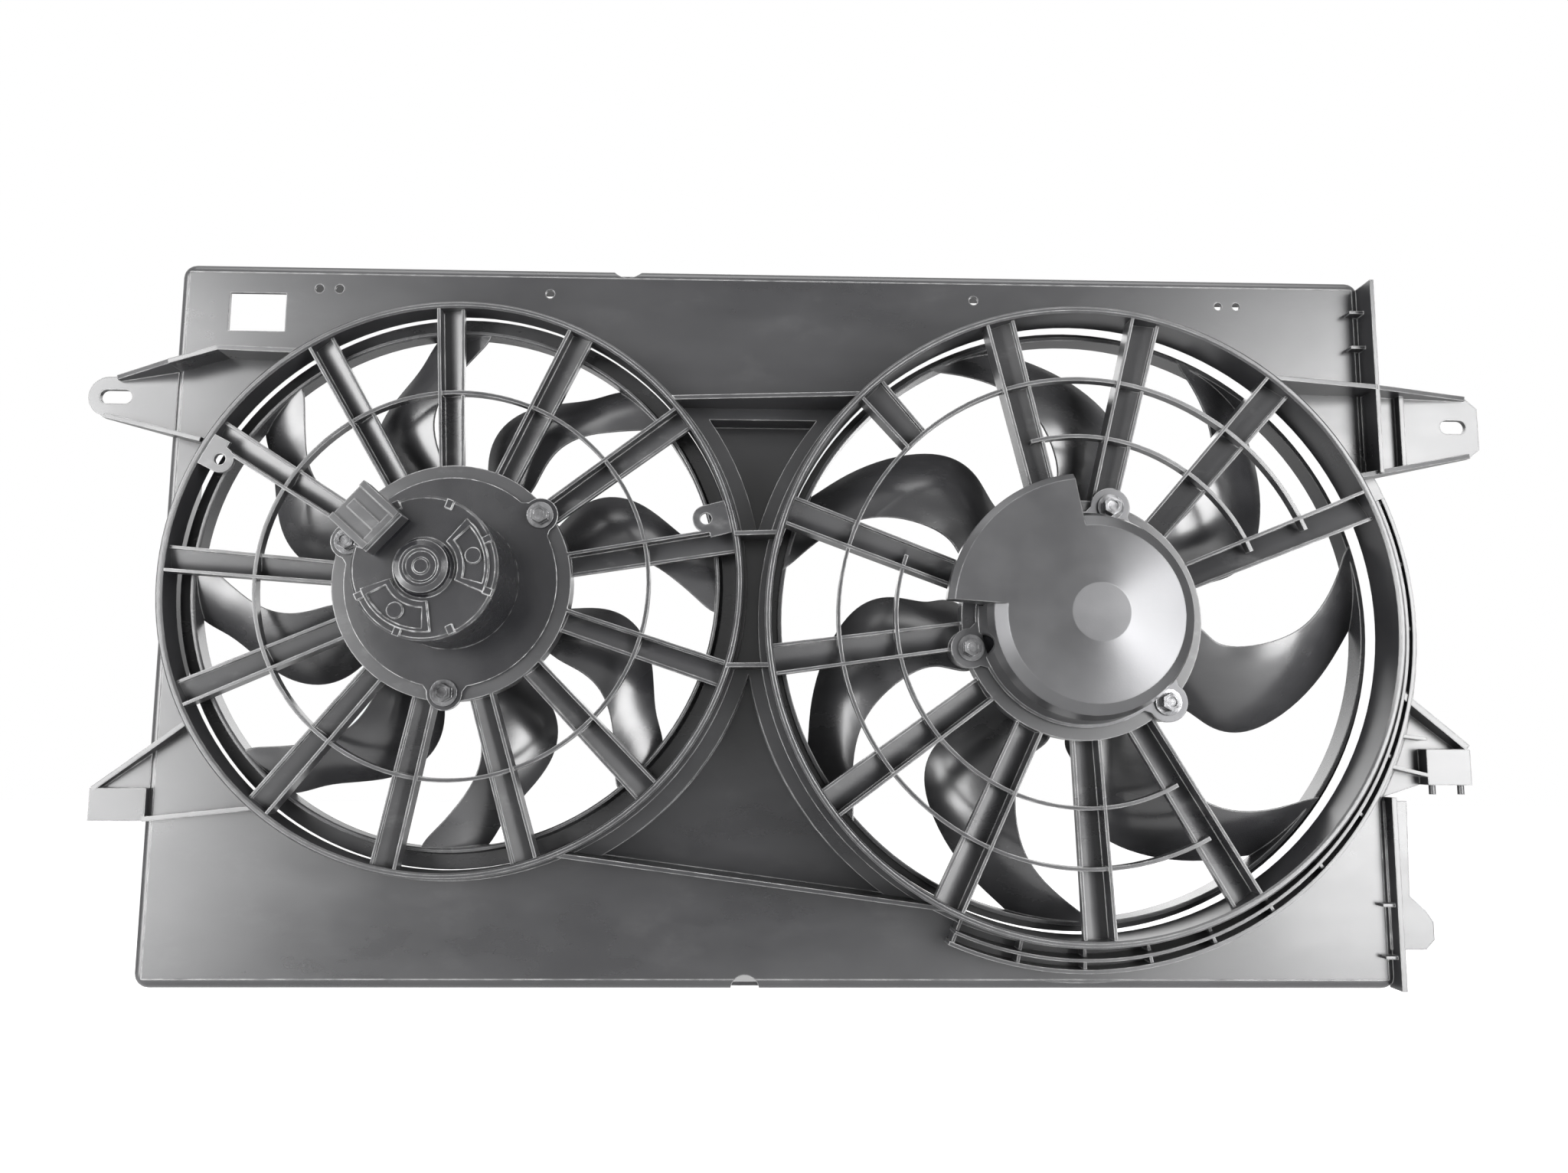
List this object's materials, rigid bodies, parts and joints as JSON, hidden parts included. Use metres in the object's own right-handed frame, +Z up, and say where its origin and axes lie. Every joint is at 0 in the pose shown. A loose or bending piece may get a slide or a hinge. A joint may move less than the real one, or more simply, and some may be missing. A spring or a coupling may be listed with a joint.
{
  "type": "radiator fan shroud",
  "caption": "Moulded radiator fan shroud with two openings, each with stator spokes, a banded axial fan and a brushed motor; slotted ears and lower feet locate it on a radiator.",
  "frame": {"origin": "middle of the lower lip of the open rear rim, on the face that meets the radiator", "axes": "+X to the right seen from the motor side, +Y from the motors towards the radiator, +Z up as installed"},
  "size_m": [0.9144, 0.1476, 0.463],
  "materials": {
    "shroud_plastic": "moulded satin black, glass-filled",
    "fan_plastic": "moulded satin black",
    "motor_paint": "satin black paint on pressed steel",
    "cover_metal": "satin dark grey coated steel",
    "connector_plastic": "moulded black, slightly textured",
    "terminal_brass": "tinned",
    "zinc_steel": "dark zinc plated",
    "bronze": "sintered or knurled, plain",
    "ferrite": "plain dark grey",
    "lamination_steel": "stacked sheet",
    "copper": "varnished",
    "card_plastic": "plain brown laminate",
    "carbon": "dull",
    "spring_steel": "bright",
    "shaft_steel": "ground"
  },
  "bodies": {
    "shroud": {"bridge_ribs": "shroud_plastic", "left_barrel": "shroud_plastic", "left_brush_card": "card_plastic", "left_brush_springs": "spring_steel", "left_brushes": "carbon", "left_connector": "connector_plastic", "left_ear": "shroud_plastic", "left_end_cap": "motor_paint", "left_foot": "shroud_plastic", "left_front_bushing": "bronze", "left_guard": "shroud_plastic", "left_magnets": "ferrite", "left_motor_can": "motor_paint", "left_mount_bolts": "zinc_steel", "left_mount_plate": "motor_paint", "left_rear_bushing": "bronze", "left_terminals": "terminal_brass", "left_threaded_inserts": "bronze", "right_barrel": "shroud_plastic", "right_brush_card": "card_plastic", "right_brush_springs": "spring_steel", "right_brushes": "carbon", "right_collar": "shroud_plastic", "right_connector": "connector_plastic", "right_ear": "shroud_plastic", "right_end_cap": "motor_paint", "right_foot": "shroud_plastic", "right_front_bushing": "bronze", "right_guard": "shroud_plastic", "right_magnets": "ferrite", "right_motor_can": "motor_paint", "right_motor_cover": "cover_metal", "right_mount_bolts": "zinc_steel", "right_mount_plate": "motor_paint", "right_rear_bushing": "bronze", "right_terminals": "terminal_brass", "right_threaded_inserts": "bronze", "shroud_body": "shroud_plastic", "shroud_skirt": "shroud_plastic"},
    "left_rotor": {"left_armature_core": "lamination_steel", "left_commutator": "copper", "left_fan": "fan_plastic", "left_fan_insert": "zinc_steel", "left_fan_nut": "zinc_steel", "left_shaft": "shaft_steel", "left_windings": "copper"},
    "right_rotor": {"right_armature_core": "lamination_steel", "right_commutator": "copper", "right_fan": "fan_plastic", "right_fan_insert": "zinc_steel", "right_fan_nut": "zinc_steel", "right_shaft": "shaft_steel", "right_windings": "copper"}
  },
  "joints": [
    {"name": "left_fan_spin", "type": "hinge", "parent": "shroud", "child": "left_rotor", "pos_m": [-0.2032, -0.04, 0.24875], "axis": [0, 1, 0], "continuous": true},
    {"name": "right_fan_spin", "type": "hinge", "parent": "shroud", "child": "right_rotor", "pos_m": [0.192, -0.04, 0.22875], "axis": [0, 1, 0], "continuous": true}
  ]
}
